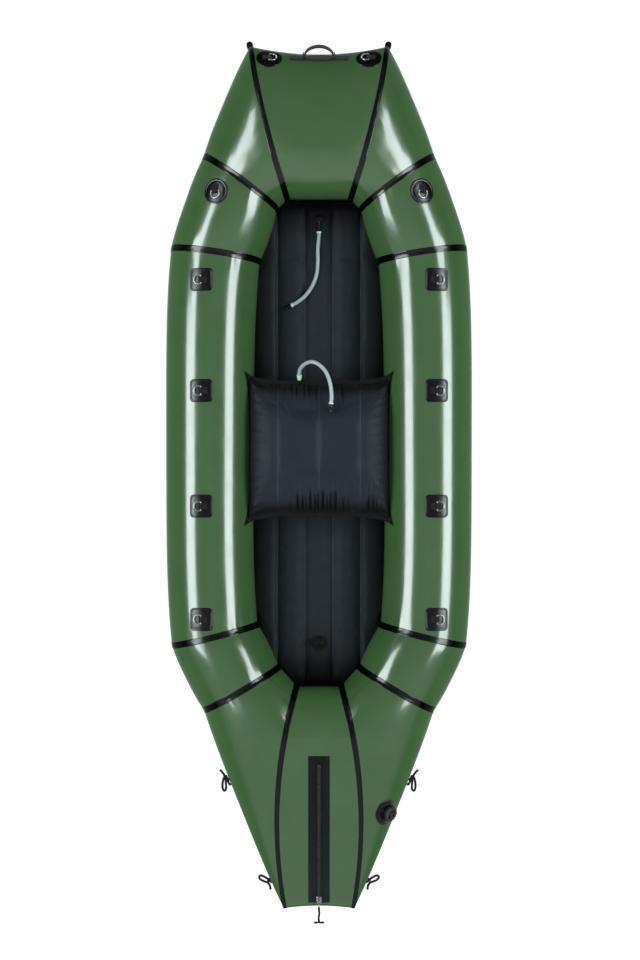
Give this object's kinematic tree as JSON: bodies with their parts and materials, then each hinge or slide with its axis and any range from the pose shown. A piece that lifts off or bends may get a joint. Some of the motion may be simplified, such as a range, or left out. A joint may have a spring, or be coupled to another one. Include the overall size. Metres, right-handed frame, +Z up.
{
  "type": "inflatable packraft",
  "caption": "Long inflatable packraft seen as a ring of welded tubes, with a chambered floor, a seat, valves with filling tubes, ring patches, a carry handle and a stern zip.",
  "frame": {"origin": "centre of the resting plane under the floor, at the middle of the hull's length and width", "axes": "+Y towards the bow, +X to starboard (the right side seen from above with the bow up), +Z up"},
  "size_m": [1.026, 2.9113, 0.3884],
  "materials": {
    "hull_fabric": "glossy coated",
    "patch_black": "glossy coated",
    "floor_fabric": "satin coated",
    "seat_fabric": "satin coated",
    "valve_black": "satin",
    "valve_rubber": "matt",
    "tube_clear": "clear, slightly milky",
    "ring_steel": "polished",
    "zip_tape": "coated",
    "zip_metal": "polished",
    "cord_black": "braided"
  },
  "bodies": {
    "hull": {"bow_quarter_right": "hull_fabric", "fore_side_right": "hull_fabric", "side_tube_right": "hull_fabric", "aft_side_right": "hull_fabric", "stern_quarter_right": "hull_fabric", "stern_panel": "hull_fabric", "stern_quarter_left": "hull_fabric", "aft_side_left": "hull_fabric", "side_tube_left": "hull_fabric", "fore_side_left": "hull_fabric", "bow_quarter_left": "hull_fabric", "bow_panel": "hull_fabric", "bow_left_patch": "patch_black", "bow_right_patch": "patch_black", "floor_sheet": "floor_fabric", "floor_tube": "tube_clear", "floor_tube_fitting": "valve_black", "floor_valve_base": "valve_black", "handle_patch": "patch_black", "inflatable_floor": "floor_fabric", "main_valve_base": "valve_black", "seat_cushion": "seat_fabric", "seat_tube": "tube_clear", "seat_tube_fitting": "valve_black", "shoulder_left_patch": "patch_black", "shoulder_right_patch": "patch_black", "side_left_1_patch": "patch_black", "side_left_2_patch": "patch_black", "side_left_3_patch": "patch_black", "side_left_4_patch": "patch_black", "side_right_1_patch": "patch_black", "side_right_2_patch": "patch_black", "side_right_3_patch": "patch_black", "side_right_4_patch": "patch_black", "tie_lower_left": "cord_black", "tie_lower_right": "cord_black", "tie_upper_left": "cord_black", "tie_upper_right": "cord_black", "zip_tape": "zip_tape"},
    "bow_left_ring": {"bow_left_ring": "ring_steel"},
    "bow_right_ring": {"bow_right_ring": "ring_steel"},
    "shoulder_left_ring": {"shoulder_left_ring": "ring_steel"},
    "shoulder_right_ring": {"shoulder_right_ring": "ring_steel"},
    "side_left_1_ring": {"side_left_1_ring": "ring_steel"},
    "side_left_2_ring": {"side_left_2_ring": "ring_steel"},
    "side_left_3_ring": {"side_left_3_ring": "ring_steel"},
    "side_left_4_ring": {"side_left_4_ring": "ring_steel"},
    "side_right_1_ring": {"side_right_1_ring": "ring_steel"},
    "side_right_2_ring": {"side_right_2_ring": "ring_steel"},
    "side_right_3_ring": {"side_right_3_ring": "ring_steel"},
    "side_right_4_ring": {"side_right_4_ring": "ring_steel"},
    "carry_handle": {"handle_loop": "patch_black"},
    "zip_slider": {"zip_slider": "zip_metal"},
    "zip_pull": {"zip_link": "zip_metal", "zip_toggle": "cord_black"},
    "main_valve_cap": {"main_valve_cap": "valve_black"},
    "main_valve_flap": {"main_valve_flap": "valve_rubber"},
    "floor_valve_cap": {"floor_valve_cap": "valve_black"},
    "floor_mouthpiece": {"floor_mouthpiece": "valve_black"},
    "seat_mouthpiece": {"seat_mouthpiece": "valve_black"}
  },
  "joints": [
    {"name": "bow_left_ring_hinge", "type": "hinge", "parent": "hull", "child": "bow_left_ring", "pos_m": [-0.16337, 1.37312, 0.30868], "axis": [0, -0.7563, 0.6542], "range_deg": [0, 150]},
    {"name": "bow_right_ring_hinge", "type": "hinge", "parent": "hull", "child": "bow_right_ring", "pos_m": [0.16337, 1.37312, 0.30869], "axis": [0, 0.7563, -0.6542], "range_deg": [0, 150]},
    {"name": "shoulder_left_ring_hinge", "type": "hinge", "parent": "hull", "child": "shoulder_left_ring", "pos_m": [-0.34128, 0.93314, 0.31141], "axis": [-0.92, 0, -0.3919], "range_deg": [0, 150]},
    {"name": "shoulder_right_ring_hinge", "type": "hinge", "parent": "hull", "child": "shoulder_right_ring", "pos_m": [0.34128, 0.93314, 0.31141], "axis": [-0.92, 0, 0.3919], "range_deg": [0, 150]},
    {"name": "side_left_1_ring_hinge", "type": "hinge", "parent": "hull", "child": "side_left_1_ring", "pos_m": [-0.38913, 0.64372, 0.29472], "axis": [0, 0.9999, -0.0142], "range_deg": [0, 150]},
    {"name": "side_left_2_ring_hinge", "type": "hinge", "parent": "hull", "child": "side_left_2_ring", "pos_m": [-0.38892, 0.27768, 0.29656], "axis": [0, 1, -0.0005], "range_deg": [0, 150]},
    {"name": "side_left_3_ring_hinge", "type": "hinge", "parent": "hull", "child": "side_left_3_ring", "pos_m": [-0.38893, -0.10282, 0.29664], "axis": [0, 1, 0.0004], "range_deg": [0, 150]},
    {"name": "side_left_4_ring_hinge", "type": "hinge", "parent": "hull", "child": "side_left_4_ring", "pos_m": [-0.38915, -0.47606, 0.29449], "axis": [0, 0.9999, 0.0164], "range_deg": [0, 150]},
    {"name": "side_right_1_ring_hinge", "type": "hinge", "parent": "hull", "child": "side_right_1_ring", "pos_m": [0.38913, 0.64372, 0.29472], "axis": [0, -0.9999, 0.0142], "range_deg": [0, 150]},
    {"name": "side_right_2_ring_hinge", "type": "hinge", "parent": "hull", "child": "side_right_2_ring", "pos_m": [0.38892, 0.27768, 0.29656], "axis": [0, -1, 0.0005], "range_deg": [0, 150]},
    {"name": "side_right_3_ring_hinge", "type": "hinge", "parent": "hull", "child": "side_right_3_ring", "pos_m": [0.38893, -0.10282, 0.29663], "axis": [0, -1, -0.0004], "range_deg": [0, 150]},
    {"name": "side_right_4_ring_hinge", "type": "hinge", "parent": "hull", "child": "side_right_4_ring", "pos_m": [0.38915, -0.47606, 0.29449], "axis": [0, -0.9999, -0.0164], "range_deg": [0, 150]},
    {"name": "handle_fold", "type": "hinge", "parent": "hull", "child": "carry_handle", "pos_m": [0, 1.38228, 0.30638], "axis": [1, 0, 0], "range_deg": [-60, 60]},
    {"name": "zip_slide", "type": "slide", "parent": "hull", "child": "zip_slider", "axis": [0, 0.9882, 0.1533], "range_m": [0, 0.43]},
    {"name": "zip_pull_hinge", "type": "hinge", "parent": "zip_slider", "child": "zip_pull", "pos_m": [0, -1.40501, 0.26732], "axis": [-1, 0, 0], "range_deg": [0, 150]},
    {"name": "main_valve_cap_turn", "type": "hinge", "parent": "hull", "child": "main_valve_cap", "pos_m": [0.23067, -1.11763, 0.26695], "axis": [0.6312, -0.239, 0.7379], "range_deg": [0, 90]},
    {"name": "main_valve_flap_lift", "type": "slide", "parent": "hull", "child": "main_valve_flap", "axis": [-0.6312, 0.239, -0.7379], "range_m": [0, 0.004], "stiffness_N_per_m": 200},
    {"name": "floor_valve_cap_turn", "type": "hinge", "parent": "hull", "child": "floor_valve_cap", "pos_m": [0, -0.56793, 0.06127], "axis": [0, 0.0549, 0.9985], "range_deg": [0, 90]},
    {"name": "floor_mouthpiece_turn", "type": "hinge", "parent": "hull", "child": "floor_mouthpiece", "pos_m": [-0.09526, 0.57503, 0.06782], "axis": [-0.8753, -0.4837, 0], "range_deg": [0, 90]},
    {"name": "seat_mouthpiece_turn", "type": "hinge", "parent": "hull", "child": "seat_mouthpiece", "pos_m": [0.03959, 0.23194, 0.29848], "axis": [-0.1055, -0.9944, 0], "range_deg": [0, 90]}
  ]
}
